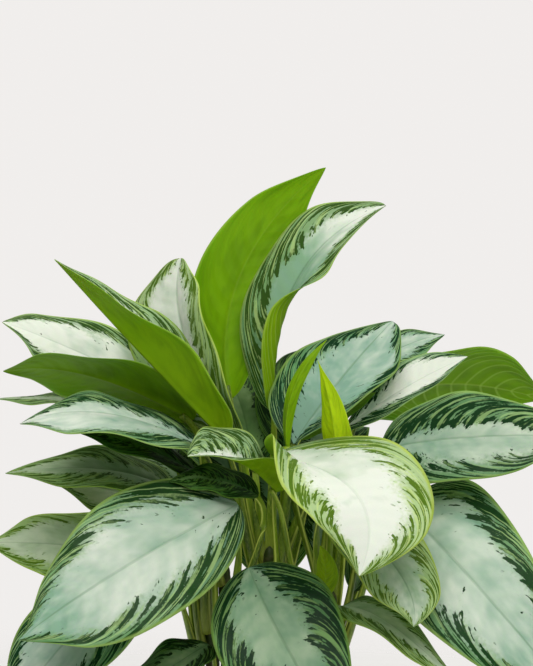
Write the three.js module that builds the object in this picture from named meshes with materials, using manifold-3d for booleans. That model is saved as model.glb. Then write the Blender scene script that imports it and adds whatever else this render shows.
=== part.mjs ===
// A potted Chinese evergreen: a bushy plant of several short canes in a plain round pot, each cane
// carrying long-stalked, broad, pointed leaves that arch out and droop at the tip.
// Millimetres, +Z up. The origin is the centre of the pot's underside, and -Y is the front.

import * as THREE from "three";
import { mergeVertices } from "three/addons/utils/BufferGeometryUtils.js";
import Module from "manifold-3d";

const { lerp, clamp, smoothstep, degToRad } = THREE.MathUtils;

// ---- Driving dimensions ----

const GAP = 0.3; // clearance between pieces that touch

const POT_HEIGHT = 200;
const POT_TOP_RADIUS = 120;
const POT_FOOT_RADIUS = 88;
const POT_WALL = 7;
const POT_FLOOR = 8;
const POT_COLLAR = { height: 24, step: 4 }; // the thicker band round the mouth
const POT_EDGE = 2.5; // softening of the foot and the lip
const POT_SIDES = 48;
const DRAINS = { count: 4, radius: 7, circle: 45, sides: 12 };

const SOIL_TOP = POT_HEIGHT - 20;
const SOIL_CROWN = { rise: 5, reach: 0.6, share: 0.7 }; // in the middle, and a share of it at a reach

const CANE_RADIUS = 8;
const CANE_TAPER = 0.18; // share of its radius that a cane loses by its top
const CANE_DEPTH = 70; // how far a cane stands in the soil
const CANE_BEND = 0.6; // share of its length at which a cane bends
const CANE_SIDES = 8;
const CANE_STEPS = 5;

const BLADE_THICKNESS = 1;
const BLADE_STATIONS = [0, 0.07, 0.18, 0.32, 0.48, 0.64, 0.79, 0.91, 1]; // shares of its length
const BLADE_COLUMNS = 4;
const BLADE_BASE_HALF = 4; // least half width at the base
const BLADE_TIP_HALF = 1.2; // least half width at the tip
const BLADE_POINT = { share: 0.35, from: 0.75 }; // how far the tip is drawn out, and from where
const FOLD_SHARE = { base: 1.6, tip: 0.5 }; // a blade is more folded at its base than at its tip
const FOLD_LIMIT = 60; // the steepest that a half stands at the midrib, in degrees
const MARGIN_DROOP = 18; // how far a half turns down between the midrib and its margin, in degrees
const CURL_FADE = 0.3; // share of the blade's length over which a curled margin straightens
const BLADE_WAVE = { height: 3, turns: 2.2, full: 30 }; // of a margin, less where a half isn't full wide

const STALK_FOOT = { wide: 5.5, thick: 3.2 }; // half sizes of the sheath at the cane
const STALK_NECK = { wide: 3.6, thick: 2.5 }; // half sizes where the blade begins
const STALK_SHEATH = 2 / 3; // share of its length over which a stalk slims
const STALK_UNDER_BLADE = 0.05; // share of the midrib that the stalk runs under
const STALK_BEND = { out: 0.18, reach: 0.6, up: 0.42, in: 0.25 }; // its pulls at the cane and at the blade
const STALK_SIDES = 5;
const STALK_STEPS = 6;

// ---- Canes: where each leaves the soil and where it ends, seen from above, and its top ----

const CANES = {
  front_left: { foot: [-40, -40], top: [-45, -46], height: 322 },
  front_right: { foot: [40, -40], top: [44, -47], height: 340 },
  left: { foot: [-58, 6], top: [-64, 6], height: 338 },
  right: { foot: [56, -4], top: [60, -6], height: 330 },
  centre: { foot: [0, 4], top: [-2, 8], height: 372 },
  back_left: { foot: [-44, 44], top: [-50, 50], height: 348 },
  back_right: { foot: [44, 44], top: [50, 50], height: 352 },
  front: { foot: [0, -62], top: [0, -66], height: 315 },
  back: { foot: [0, 64], top: [0, 68], height: 340 },
};

// ---- Leaves ----
// cane and from: the cane that the stalk grows from, and at what height.
// base, middle, tip: three points of the midrib. face: the way the upper side looks.
// width: across the blade. fold: how far each half is raised from flat, in degrees.
// left, right: how a half differs from EVEN_HALF, as seen from the base, looking to the tip.

// wide: share of half the leaf's width. base and tip: the outline's powers, and a higher one makes that
// end slimmer. lift: degrees that the half is folded more than the leaf. curl: degrees that its margin
// turns up near the base, and until: the share of the length by which it has straightened.
const EVEN_HALF = { wide: 1, base: 0.55, tip: 0.78, lift: 0, curl: 0, until: 1 };

const LEAVES = [
  {
    name: "front_left", cane: "front_left", from: 250, width: 134, fold: 10,
    base: [-33, -73, 430], middle: [-145, -150, 380], tip: [-230, -185, 326], face: [-0.15, -0.95, 0.45],
    right: { tip: 1.15 },
  },
  {
    name: "front_white", cane: "front", from: 295, width: 148, fold: 8,
    base: [2, -57, 474], middle: [77, -175, 457], tip: [77, -225, 394], face: [0.1, -0.7, 0.7],
    right: { lift: 20, curl: 60, until: 0.45 },
  },
  {
    name: "centre_funnel", cane: "front_right", from: 298, width: 84, fold: 38,
    base: [4, -75, 442], middle: [-32, -100, 476], tip: [-79, -120, 484], face: [0, -0.3, 0.95],
    left: { base: 0.4, tip: 1.1 },
    right: { base: 1, tip: 0.6 },
  },
  {
    name: "front_low", cane: "front", from: 230, width: 122, fold: 10,
    base: [-22, -88, 371], middle: [11, -155, 316], tip: [66, -200, 233], face: [-0.05, -0.9, 0.45],
    right: { base: 0.65 },
  },
  {
    name: "front_right_small", cane: "front_right", from: 265, width: 78, fold: 12,
    base: [50, -85, 438], middle: [116, -142, 382], tip: [130, -170, 334], face: [0.1, -0.7, 0.7],
  },
  {
    name: "right_low_narrow", cane: "front_right", from: 222, width: 56, fold: 14,
    base: [62, -56, 320], middle: [104, -100, 325], tip: [178, -140, 268], face: [0.2, -0.3, 0.9],
    right: { wide: 1.25 },
  },
  {
    name: "right_large", cane: "right", from: 250, width: 144, fold: 8,
    base: [125, -40, 424], middle: [190, -115, 365], tip: [285, -150, 256], face: [0.1, -0.95, 0.4],
    left: { base: 0.3 },
    right: { wide: 0.94 },
  },
  {
    name: "right_upper", cane: "right", from: 285, width: 108, fold: 10,
    base: [108, -10, 473], middle: [186, -65, 494], tip: [300, -105, 501], face: [0, -0.75, 0.65],
  },
  {
    name: "right_green", cane: "right", from: 300, width: 112, fold: 6,
    base: [96, 74, 507], middle: [186, 130, 524], tip: [298, 160, 503], face: [0, 0.76, 0.65],
    right: { wide: 1.12, tip: 0.6, base: 0.7 },
  },
  {
    name: "silver_blue", cane: "centre", from: 330, width: 120, fold: 8,
    base: [22, -25, 482], middle: [68, 10, 540], tip: [125, 60, 597], face: [-0.2, -0.8, 0.5],
    right: { wide: 0.66, base: 1, tip: 0.4 },
  },
  {
    name: "right_teal", cane: "back_right", from: 338, width: 66, fold: 10,
    base: [72, 71, 520], middle: [127, 125, 557], tip: [188, 150, 575], face: [0, -0.5, 0.85],
  },
  {
    name: "right_pale", cane: "centre", from: 345, width: 64, fold: 12,
    base: [71, 31, 487], middle: [137, 46, 529], tip: [203, 60, 560], face: [0.1, -0.6, 0.8],
    left: { base: 1.3 },
    right: { wide: 0.6 },
  },
  {
    name: "young_bright", cane: "front_right", from: 333, width: 36, fold: 28,
    base: [62, -44, 455], middle: [60, -53, 508], tip: [45, -45, 567], face: [0.35, 0.9, 0.1],
    left: { base: 0.35, tip: 1 },
    right: { base: 0.35, tip: 1.1 },
  },
  {
    name: "young_spear", cane: "centre", from: 315, width: 16, fold: 40,
    base: [16, -45, 477], middle: [20, -55, 536], tip: [54, -42, 587], face: [0.3, 0.9, 0.1],
  },
  {
    name: "top_green", cane: "centre", from: 350, width: 92, fold: 8,
    base: [-43, 60, 516], middle: [-32, 80, 644], tip: [56, 70, 755], face: [0.3, 0.85, 0.2],
  },
  {
    name: "top_striped", cane: "centre", from: 360, width: 98, fold: 28,
    base: [1, 38, 507], middle: [26, 38, 641], tip: [117, 50, 716], face: [-0.8, -0.6, 0.2],
    left: { base: 0.55, tip: 0.5 },
    right: { wide: 0.86, lift: -20, curl: 110, until: 0.64, base: 0.42, tip: 0.95 },
  },
  {
    name: "upper_left", cane: "centre", from: 340, width: 100, fold: 20,
    base: [-34, -5, 483], middle: [-86, 0, 583], tip: [-91, 20, 664], face: [-0.7, -0.7, 0.1],
    left: { wide: 1.35, tip: 0.45 },
    right: { tip: 0.5, wide: 0.9, base: 0.35 },
  },
  {
    name: "upper_left_green", cane: "centre", from: 322, width: 96, fold: 50,
    base: [-46, -42, 488], middle: [-126, -75, 578], tip: [-205, -95, 668], face: [0.5, 0.1, 0.85],
    left: { wide: 0.95 },
    right: { wide: 1.15, lift: 10 },
  },
  {
    name: "left_top", cane: "back_left", from: 290, width: 96, fold: 10,
    base: [-88, 32, 515], middle: [-198, 48, 566], tip: [-272, 20, 599], face: [0, -0.6, 0.8],
  },
  {
    name: "left_green", cane: "back_left", from: 324, width: 110, fold: 6,
    base: [-79, -6, 503], middle: [-178, -42, 552], tip: [-260, -60, 558], face: [-0.1, 0.45, 0.85],
  },
  {
    name: "left_thin", cane: "back_left", from: 334, width: 75, fold: 10,
    base: [-125, 60, 488], middle: [-205, 60, 512], tip: [-285, 50, 517], face: [0, -0.05, 1],
  },
  {
    name: "left_silver", cane: "front_left", from: 290, width: 88, fold: 8,
    base: [-60, -36, 475], middle: [-152, -110, 523], tip: [-234, -135, 517], face: [0, -0.42, 0.87],
    right: { tip: 1.05 },
  },
  {
    name: "left_shaded", cane: "left", from: 285, width: 60, fold: 10,
    base: [-70, -25, 450], middle: [-147, -60, 494], tip: [-212, -85, 512], face: [0, -0.4, 0.9],
  },
  {
    name: "left_mid", cane: "left", from: 262, width: 82, fold: 10,
    base: [-90, -8, 426], middle: [-159, -45, 459], tip: [-259, -60, 458], face: [0, -0.4, 0.9],
  },
  {
    name: "left_pale", cane: "left", from: 268, width: 95, fold: 10,
    base: [-79, 31, 398], middle: [-142, 11, 424], tip: [-222, -10, 443], face: [0, -0.5, 0.85],
  },
  {
    name: "left_olive", cane: "left", from: 235, width: 98, fold: 8,
    base: [-90, 10, 356], middle: [-197, -10, 376], tip: [-283, -20, 381], face: [0, -0.6, 0.8],
  },
  {
    name: "left_low", cane: "left", from: 225, width: 100, fold: 10,
    base: [-110, -50, 370], middle: [-195, -105, 305], tip: [-247, -130, 234], face: [-0.2, -0.8, 0.5],
  },
  {
    name: "left_low_small", cane: "front_left", from: 210, width: 66, fold: 12,
    base: [-62, -52, 286], middle: [-99, -80, 270], tip: [-159, -115, 232], face: [-0.2, -0.4, 0.9],
  },
  {
    name: "inner_shaded", cane: "front_left", from: 306, width: 44, fold: 10,
    base: [-13, -70, 438], middle: [-55, -76, 455], tip: [-99, -84, 454], face: [0, -0.5, 0.85],
  },
  {
    name: "young_low", cane: "front_right", from: 243, width: 26, fold: 35,
    base: [38, -98, 338], middle: [51, -100, 365], tip: [46, -98, 395], face: [0.3, 0.9, 0.1],
  },
  {
    name: "middle_green", cane: "right", from: 318, width: 42, fold: 10,
    base: [25, 3, 485], middle: [64, 14, 507], tip: [106, 26, 527], face: [-0.1, 0.75, 0.65],
  },
];

// Leaves of the far side, in tiers spread evenly round the back. Bearings run from +X towards +Y, in
// degrees, and each of a leaf's three points has its reach from the plant's middle and its height.
const BACK_TIERS = [
  {
    name: "back_low", count: 5, bearings: [34, 146], from: 232, width: 104, fold: 10, stagger: -16,
    base: [105, 330], middle: [165, 395], tip: [240, 385],
  },
  {
    name: "back_middle", count: 5, bearings: [46, 134], from: 276, width: 100, fold: 10, stagger: -12,
    base: [105, 405], middle: [160, 455], tip: [235, 450],
  },
  {
    name: "back_high", count: 2, bearings: [77, 105], from: 308, width: 84, fold: 10, stagger: 12,
    base: [62, 452], middle: [128, 515], tip: [215, 545],
  },
];
const BACK_FACE = { out: 0.4, up: 0.9 }; // the way that the upper sides of these leaves look

// ---- Blades and stalks ----

const vector = (point) => new THREE.Vector3(...point);

function nearestCane([x, y]) {
  const distance = (cane) => Math.hypot(cane.foot[0] - x, cane.foot[1] - y);
  return Object.keys(CANES).reduce((a, b) => (distance(CANES[a]) < distance(CANES[b]) ? a : b));
}

function leavesOf(tier) {
  return Array.from({ length: tier.count }, (_, index) => {
    const bearing = degToRad(lerp(...tier.bearings, index / (tier.count - 1)));
    const lift = index % 2 === 0 ? tier.stagger : -tier.stagger;
    const [east, north] = [Math.cos(bearing), Math.sin(bearing)];
    const place = ([reach, height]) => [reach * east, reach * north, height + lift];
    return {
      name: `${tier.name}_${index + 1}`,
      cane: nearestCane(place(tier.base)),
      from: tier.from + lift,
      width: tier.width,
      fold: tier.fold,
      base: place(tier.base),
      middle: place(tier.middle),
      tip: place(tier.tip),
      face: [BACK_FACE.out * east, BACK_FACE.out * north, BACK_FACE.up],
    };
  });
}

const spoken = (direction, axis) =>
  direction.clone().addScaledVector(axis, -direction.dot(axis)).normalize();

// The curve through a leaf's three points.
function midribOf(leaf) {
  const [base, middle, tip] = [leaf.base, leaf.middle, leaf.tip].map(vector);
  const pull = middle.clone().multiplyScalar(2).addScaledVector(base, -0.5).addScaledVector(tip, -0.5);
  return new THREE.QuadraticBezierCurve3(base, pull, tip);
}

// The width of a blade's half at a share of its length: broad near the base, drawn out to the tip.
function halfWidth(leaf, shape, along) {
  const { wide, base, tip } = shape;
  const raw = (share) => share ** base * (1 - share) ** tip;
  const widest = raw(base / (base + tip));
  const drawn = 1 - BLADE_POINT.share * smoothstep(along, BLADE_POINT.from, 1);
  const least = lerp(BLADE_BASE_HALF, BLADE_TIP_HALF, along);
  return Math.max(least, (leaf.width / 2) * wide * (raw(along) / widest) * drawn);
}

// A point of the blade's skin, lifted off its middle surface. across runs from -1 to 1 between the
// margins, and each half is an arc from the midrib.
function bladePoint(leaf, midrib, along, across, lift) {
  const tangent = midrib.getTangent(along);
  const normal = spoken(vector(leaf.face), tangent);
  const side = tangent.clone().cross(normal).multiplyScalar(Math.sign(across));
  const shape = { ...EVEN_HALF, ...(across < 0 ? leaf.left : leaf.right) };
  const reach = Math.abs(across);
  const half = halfWidth(leaf, shape, along);
  const steepness = (leaf.fold + shape.lift) * lerp(FOLD_SHARE.base, FOLD_SHARE.tip, along);
  const fold = degToRad(Math.min(FOLD_LIMIT, steepness));
  const curled = 1 - smoothstep(along, shape.until - CURL_FADE, shape.until);
  const turn = degToRad(shape.curl * curled - MARGIN_DROOP) * reach;
  const chord = reach * half * (turn === 0 ? 1 : Math.sin(turn / 2) / (turn / 2));
  const wave = BLADE_WAVE.height * Math.sin(2 * Math.PI * BLADE_WAVE.turns * along + leaf.width);
  const rise = wave * reach * reach * Math.min(1, half / BLADE_WAVE.full);
  const slope = reach === 0 ? 0 : fold + turn;
  return midrib
    .getPoint(along)
    .addScaledVector(side, chord * Math.cos(fold + turn / 2) - lift * Math.sin(slope))
    .addScaledVector(normal, chord * Math.sin(fold + turn / 2) + rise + lift * Math.cos(slope));
}

// The blade as a closed skin: an upper and a lower face split alike, and a rim round them.
function bladeGeometry(leaf) {
  const midrib = midribOf(leaf);
  const rows = BLADE_STATIONS.length;
  const columns = BLADE_COLUMNS + 1;
  const lower = rows * columns;
  const positions = [];
  for (const lift of [BLADE_THICKNESS / 2, -BLADE_THICKNESS / 2])
    for (const along of BLADE_STATIONS)
      for (let column = 0; column < columns; column++) {
        const across = (2 * column) / BLADE_COLUMNS - 1;
        positions.push(...bladePoint(leaf, midrib, along, across, lift).toArray());
      }

  const index = [];
  const quad = (a, b, c, d) => index.push(a, b, c, a, c, d);
  const rim = (a, b) => quad(b, a, a + lower, b + lower);
  for (let row = 0; row + 1 < rows; row++) {
    for (let column = 0; column + 1 < columns; column++) {
      const near = row * columns + column;
      const far = near + columns;
      quad(near, near + 1, far + 1, far);
      index.push(lower + near, lower + far + 1, lower + near + 1);
      index.push(lower + near, lower + far, lower + far + 1);
    }
    const left = row * columns;
    rim(left + columns, left);
    rim(left + columns - 1, left + 2 * columns - 1);
  }
  for (let column = 0; column + 1 < columns; column++) {
    const tip = (rows - 1) * columns + column;
    rim(column, column + 1);
    rim(tip + 1, tip);
  }
  const geometry = new THREE.BufferGeometry();
  geometry.setAttribute("position", new THREE.Float32BufferAttribute(positions, 3));
  return geometry.setIndex(index);
}

// An upright cylinder bent along a curve. sizeAt gives its half sizes at a share of the length, and
// facing gives the way that its thickness is measured.
function bentRod(curve, sides, steps, sizeAt, facing) {
  const geometry = new THREE.CylinderGeometry(1, 1, 1, sides, steps);
  const position = geometry.getAttribute("position");
  for (let i = 0; i < position.count; i++) {
    const share = position.getY(i) + 0.5;
    const tangent = curve.getTangent(share);
    const normal = spoken(facing(share), tangent);
    const side = tangent.clone().cross(normal);
    const { wide, thick } = sizeAt(share);
    const point = curve
      .getPoint(share)
      .addScaledVector(side, position.getX(i) * wide)
      .addScaledVector(normal, position.getZ(i) * thick);
    position.setXYZ(i, ...point.toArray());
  }
  return geometry;
}

// ---- Canes ----

function caneCurve(cane) {
  const base = SOIL_TOP - CANE_DEPTH;
  const bend = lerp(base, cane.height, CANE_BEND);
  return new THREE.QuadraticBezierCurve3(
    vector([...cane.foot, base]),
    vector([...cane.foot, bend]),
    vector([...cane.top, cane.height]),
  );
}

const caneRadius = (share) => CANE_RADIUS * (1 - CANE_TAPER * share);

function caneGeometry(cane, clearance = 0) {
  const sizeAt = (share) => {
    const radius = caneRadius(share) + clearance;
    return { wide: radius, thick: radius };
  };
  const facing = () => new THREE.Vector3(0, -1, 0);
  return bentRod(caneCurve(cane), CANE_SIDES, CANE_STEPS, sizeAt, facing);
}

// The share of a cane's length at which it reaches a height, found by halving.
const HALVINGS = 20;

function shareAtHeight(curve, height) {
  let [low, high] = [0, 1];
  for (let halving = 0; halving < HALVINGS; halving++) {
    const middle = (low + high) / 2;
    if (curve.getPoint(middle).z < height) low = middle;
    else high = middle;
  }
  return low;
}

// A stalk leaves its cane upwards, bends out, and runs into the midrib from below.
function stalkGeometry(leaf) {
  const midrib = midribOf(leaf);
  const arrival = midrib.getTangent(0);
  const face = spoken(vector(leaf.face), arrival);
  const end = midrib
    .getPoint(STALK_UNDER_BLADE)
    .addScaledVector(face, BLADE_THICKNESS / 2 - STALK_NECK.thick);
  const cane = caneCurve(CANES[leaf.cane]);
  const node = shareAtHeight(cane, leaf.from);
  const onCane = cane.getPoint(node);
  const outwards = end.clone().sub(onCane).setZ(0).normalize();
  const start = onCane.addScaledVector(outwards, caneRadius(node) + GAP + STALK_FOOT.thick);
  const length = start.distanceTo(end);
  const reach = end.clone().sub(start).dot(outwards);
  const lean = clamp(reach * STALK_BEND.reach, 0, length * STALK_BEND.out);
  const upwards = start.clone().addScaledVector(outwards, lean);
  upwards.z += length * STALK_BEND.up;
  const beforeEnd = end.clone().addScaledVector(arrival, -length * STALK_BEND.in);
  const curve = new THREE.CubicBezierCurve3(start, upwards, beforeEnd, end);
  const sizeAt = (share) => {
    const slimmed = Math.min(1, share / STALK_SHEATH);
    return {
      wide: lerp(STALK_FOOT.wide, STALK_NECK.wide, slimmed),
      thick: lerp(STALK_FOOT.thick, STALK_NECK.thick, slimmed),
    };
  };
  const facing = (share) => outwards.clone().negate().lerp(face, share);
  return bentRod(curve, STALK_SIDES, STALK_STEPS, sizeAt, facing);
}

// ---- Joining and cutting ----

const wasm = await Module();
wasm.setup();

function solidOf(geometry) {
  geometry.deleteAttribute("normal");
  geometry.deleteAttribute("uv");
  const merged = mergeVertices(geometry, 1e-3);
  return new wasm.Manifold(
    new wasm.Mesh({
      numProp: 3,
      vertProperties: merged.getAttribute("position").array,
      triVerts: new Uint32Array(merged.index.array),
    }),
  );
}

function geometryOf(solid) {
  const { vertProperties, triVerts } = solid.getMesh();
  const geometry = new THREE.BufferGeometry();
  geometry.setAttribute("position", new THREE.BufferAttribute(vertProperties, 3));
  geometry.setIndex(new THREE.BufferAttribute(triVerts, 1));
  const faceted = geometry.toNonIndexed();
  faceted.computeVertexNormals();
  return faceted;
}

// ---- Pot and soil ----

const potRadius = (height) =>
  lerp(POT_FOOT_RADIUS, POT_TOP_RADIUS - POT_COLLAR.step, height / POT_HEIGHT);

function turned(profile) {
  const points = profile.map(([radius, height]) => new THREE.Vector2(radius, height));
  return solidOf(new THREE.LatheGeometry(points, POT_SIDES).rotateX(Math.PI / 2));
}

function potSolid() {
  const inner = (height) => potRadius(height) - POT_WALL;
  const collar = POT_HEIGHT - POT_COLLAR.height;
  const shell = turned([
    [0, 0],
    [POT_FOOT_RADIUS - POT_EDGE, 0],
    [potRadius(POT_EDGE), POT_EDGE],
    [potRadius(collar), collar],
    [potRadius(collar) + POT_COLLAR.step, collar + POT_EDGE],
    [POT_TOP_RADIUS, POT_HEIGHT - POT_EDGE],
    [POT_TOP_RADIUS - POT_EDGE, POT_HEIGHT],
    [inner(POT_HEIGHT) + POT_EDGE, POT_HEIGHT],
    [inner(POT_HEIGHT), POT_HEIGHT - POT_EDGE],
    [inner(POT_FLOOR), POT_FLOOR],
    [0, POT_FLOOR],
  ]);
  let pot = shell;
  for (let i = 0; i < DRAINS.count; i++) {
    const angle = ((i + 0.5) / DRAINS.count) * 2 * Math.PI;
    const drain = new THREE.CylinderGeometry(DRAINS.radius, DRAINS.radius, 4 * POT_FLOOR, DRAINS.sides)
      .rotateX(Math.PI / 2)
      .translate(Math.cos(angle) * DRAINS.circle, Math.sin(angle) * DRAINS.circle, 0);
    pot = pot.subtract(solidOf(drain));
  }
  return pot;
}

function soilSolid() {
  const radius = (height) => potRadius(height) - POT_WALL - GAP;
  const floor = POT_FLOOR + GAP;
  let soil = turned([
    [0, floor],
    [radius(floor), floor],
    [radius(SOIL_TOP), SOIL_TOP],
    [radius(SOIL_TOP) * SOIL_CROWN.reach, SOIL_TOP + SOIL_CROWN.rise * SOIL_CROWN.share],
    [0, SOIL_TOP + SOIL_CROWN.rise],
  ]);
  for (const cane of Object.values(CANES)) soil = soil.subtract(solidOf(caneGeometry(cane, GAP)));
  return soil;
}

// ---- The plant in its pot ----

const COLOURS = {
  pot: { color: 0xe9e6df, roughness: 0.6 },
  soil: { color: 0x3a2a1e, roughness: 0.95 },
  cane: { color: 0x3d5a1e, roughness: 0.6 },
  leaf: { color: 0x9db892, roughness: 0.5 },
};

function named(name, solid, colour) {
  const mesh = new THREE.Mesh(geometryOf(solid), new THREE.MeshStandardMaterial(colour));
  mesh.name = name;
  return mesh;
}

const plant = new THREE.Group();
plant.add(named("pot", potSolid(), COLOURS.pot));
plant.add(named("soil", soilSolid(), COLOURS.soil));
for (const [name, cane] of Object.entries(CANES))
  plant.add(named(`cane_${name}`, solidOf(caneGeometry(cane)), COLOURS.cane));
for (const leaf of [...LEAVES, ...BACK_TIERS.flatMap(leavesOf)]) {
  const solid = solidOf(bladeGeometry(leaf)).add(solidOf(stalkGeometry(leaf)));
  plant.add(named(`leaf_${leaf.name}`, solid, COLOURS.leaf));
}

export default plant;
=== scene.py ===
"""A potted Chinese evergreen: silver leaves with dark green margins on long stalks, growing from short
canes in a plain round pot of soil. Metres, +Z up, and -Y is the front."""

import math
import random

import bmesh
import bpy
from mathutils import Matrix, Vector, noise


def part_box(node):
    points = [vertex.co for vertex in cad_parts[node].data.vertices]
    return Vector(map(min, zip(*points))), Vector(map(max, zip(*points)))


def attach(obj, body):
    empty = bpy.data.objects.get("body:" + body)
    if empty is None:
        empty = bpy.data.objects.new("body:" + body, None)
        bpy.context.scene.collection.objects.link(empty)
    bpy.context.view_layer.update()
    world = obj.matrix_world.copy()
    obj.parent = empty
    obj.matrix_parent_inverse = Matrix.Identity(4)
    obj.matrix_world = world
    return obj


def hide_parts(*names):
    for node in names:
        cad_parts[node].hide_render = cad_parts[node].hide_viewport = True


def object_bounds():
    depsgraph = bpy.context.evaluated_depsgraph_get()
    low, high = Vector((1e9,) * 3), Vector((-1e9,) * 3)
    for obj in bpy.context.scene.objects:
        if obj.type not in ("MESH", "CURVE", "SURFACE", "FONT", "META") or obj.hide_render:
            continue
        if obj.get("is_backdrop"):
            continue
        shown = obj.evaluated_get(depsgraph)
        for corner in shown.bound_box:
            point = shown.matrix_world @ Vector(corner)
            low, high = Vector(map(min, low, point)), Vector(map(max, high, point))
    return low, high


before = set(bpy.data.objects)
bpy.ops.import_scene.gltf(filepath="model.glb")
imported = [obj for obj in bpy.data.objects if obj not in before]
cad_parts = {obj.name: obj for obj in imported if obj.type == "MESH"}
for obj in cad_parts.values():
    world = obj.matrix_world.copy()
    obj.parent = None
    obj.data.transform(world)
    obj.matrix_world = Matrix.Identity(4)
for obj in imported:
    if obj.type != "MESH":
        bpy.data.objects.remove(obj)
cad_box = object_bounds()
scene = bpy.context.scene

# ---- Camera ----
# It stands in front of the plant, a little above the middle of its leaves, and looks slightly down.

VIEW_CENTRE = Vector((-0.005, 0, 0.590))
VIEW_DISTANCE = 1.8
VIEW_RISE = math.radians(5)
VIEW_LENS_MM = 97.3

camera = bpy.data.objects.new("camera", bpy.data.cameras.new("camera"))
camera.data.lens = VIEW_LENS_MM
camera.location = VIEW_CENTRE + VIEW_DISTANCE * Vector((0, -math.cos(VIEW_RISE), math.sin(VIEW_RISE)))
camera.rotation_euler = (math.pi / 2 - VIEW_RISE, 0, 0)
scene.collection.objects.link(camera)
scene.camera = camera
scene.view_settings.view_transform = "Standard"

# ---- Floor and backdrop ----
# A pale studio: a floor that fades out round the pot, pale air behind it, and soft light from above
# the front. A light behind shines through the leaves. It stays out of reflections, where it would
# lay a grey haze on the shaded ones.

FLOOR_RADIUS = 1.3
FLOOR_SIDES = 96
FLOOR_FADES = (0.55, 1.25)
FLOOR_COLOUR = (0.8, 0.79, 0.78, 1)
AIR_COLOUR = (0.875, 0.855, 0.84, 1)
AMBIENT_COLOUR = (0.98, 1, 0.97, 1)
AMBIENT_STRENGTH = 0.27
LIGHTS = {
    "light_window": {"at": (0.05, -1.7, 2.4), "size": 2, "power": 58, "colour": (1, 0.985, 0.96)},
    "light_fill": {"at": (1.9, -1.4, 1.2), "size": 1.8, "power": 6, "colour": (0.97, 0.99, 1)},
    "light_behind": {"at": (0.4, 1.5, 1.9), "size": 1.2, "power": 26, "colour": (1, 0.99, 0.94)},
}


def set_inputs(node, inputs):
    """Links each named input of a node, or gives it a value."""
    for name, value in inputs.items():
        if isinstance(value, bpy.types.NodeSocket):
            node.id_data.links.new(value, node.inputs[name])
        else:
            node.inputs[name].default_value = value


def shader_node(tree, kind, inputs=None, **settings):
    """A shader node with its settings and its inputs."""
    made = tree.nodes.new("ShaderNode" + kind)
    for name, value in settings.items():
        setattr(made, name, value)
    set_inputs(made, inputs or {})
    return made


def new_material(name, **values):
    """A material with one Principled shader, whose even values are set on its own sockets."""
    material = bpy.data.materials.new(name)
    material.use_nodes = True
    shader = material.node_tree.nodes["Principled BSDF"]
    for socket, value in values.items():
        shader.inputs[socket.replace("_", " ")].default_value = value
    return material, material.node_tree, shader


def new_piece(name, bm, materials, smooth=True):
    """A finished mesh as an object at the origin."""
    mesh = bpy.data.meshes.new(name)
    for face in bm.faces:
        face.smooth = smooth
    bm.to_mesh(mesh)
    bm.free()
    piece = bpy.data.objects.new(name, mesh)
    for material in materials:
        mesh.materials.append(material)
    scene.collection.objects.link(piece)
    return piece


def place_in(tree):
    """Where a point lies in the shared frame."""
    return shader_node(tree, "TexCoord").outputs["Object"]


def step_of(value, low, high, start=0.0, end=1.0, way="SMOOTHSTEP"):
    """Goes from start to end while the value goes from low to high."""
    limits = {"Value": value, "From Min": low, "From Max": high, "To Min": start, "To Max": end}
    made = shader_node(value.id_data, "MapRange", limits, interpolation_type=way)
    return made.outputs["Result"]


floor_paint, tree, shader = new_material("floor_paint", Base_Color=FLOOR_COLOUR, Roughness=0.9)
distance = shader_node(tree, "VectorMath", {0: place_in(tree)}, operation="LENGTH")
fade = step_of(distance.outputs["Value"], *FLOOR_FADES, 1, 0)
tree.links.new(fade, shader.inputs["Alpha"])
bm = bmesh.new()
bmesh.ops.create_circle(bm, cap_ends=True, radius=FLOOR_RADIUS, segments=FLOOR_SIDES)
floor = new_piece("floor", bm, [floor_paint])
floor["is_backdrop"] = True

world = bpy.data.worlds.new("studio")
world.use_nodes = True
tree = world.node_tree
seen = tree.nodes["Background"]
seen.inputs["Color"].default_value = AIR_COLOUR
ambient = shader_node(tree, "Background", {"Color": AMBIENT_COLOUR, "Strength": AMBIENT_STRENGTH})
to_camera = shader_node(tree, "LightPath").outputs["Is Camera Ray"]
airs = {"Fac": to_camera, 1: ambient.outputs["Background"], 2: seen.outputs["Background"]}
air = shader_node(tree, "MixShader", airs)
tree.links.new(air.outputs["Shader"], tree.nodes["World Output"].inputs["Surface"])
scene.world = world

for name, light in LIGHTS.items():
    lamp = bpy.data.objects.new(name, bpy.data.lights.new(name, "AREA"))
    lamp.data.size = light["size"]
    lamp.data.energy = light["power"]
    lamp.data.color = light["colour"]
    lamp.location = light["at"]
    lamp.visible_glossy = name != "light_behind"
    lamp.rotation_euler = (VIEW_CENTRE - lamp.location).to_track_quat("-Z", "Y").to_euler()
    scene.collection.objects.link(lamp)

# ---- Pot ----
# Cast stoneware with a matte off-white glaze: a tapered wall, a thicker collar round the mouth and a
# flat foot with four drain holes.

POT_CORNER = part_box("pot")[1]
POT_RADIUS = POT_CORNER.x
POT_HEIGHT = POT_CORNER.z
POT_SIDES = 96
POT_FOOT_RADIUS = 0.088
POT_WALL = 0.007
POT_FLOOR = 0.008
POT_COLLAR_HEIGHT = 0.024
POT_COLLAR_STEP = 0.004
POT_EDGE = 0.0022
POT_EDGE_STEPS = 4
DRAIN_COUNT = 4
DRAIN_SIDES = 24
DRAIN_RADIUS = 0.007
DRAIN_CIRCLE = 0.045
GLAZE_SHADE = (0.79, 0.77, 0.72, 1)
GLAZE_LIGHT = (0.86, 0.845, 0.8, 1)
GLAZE_SPECK = (0.33, 0.26, 0.19, 1)
GLAZE_ROUGHNESS = (0.36, 0.58)
SPECKS_FROM = (0.56, 0.72)
SPECK_SIZE = 0.34


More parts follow.
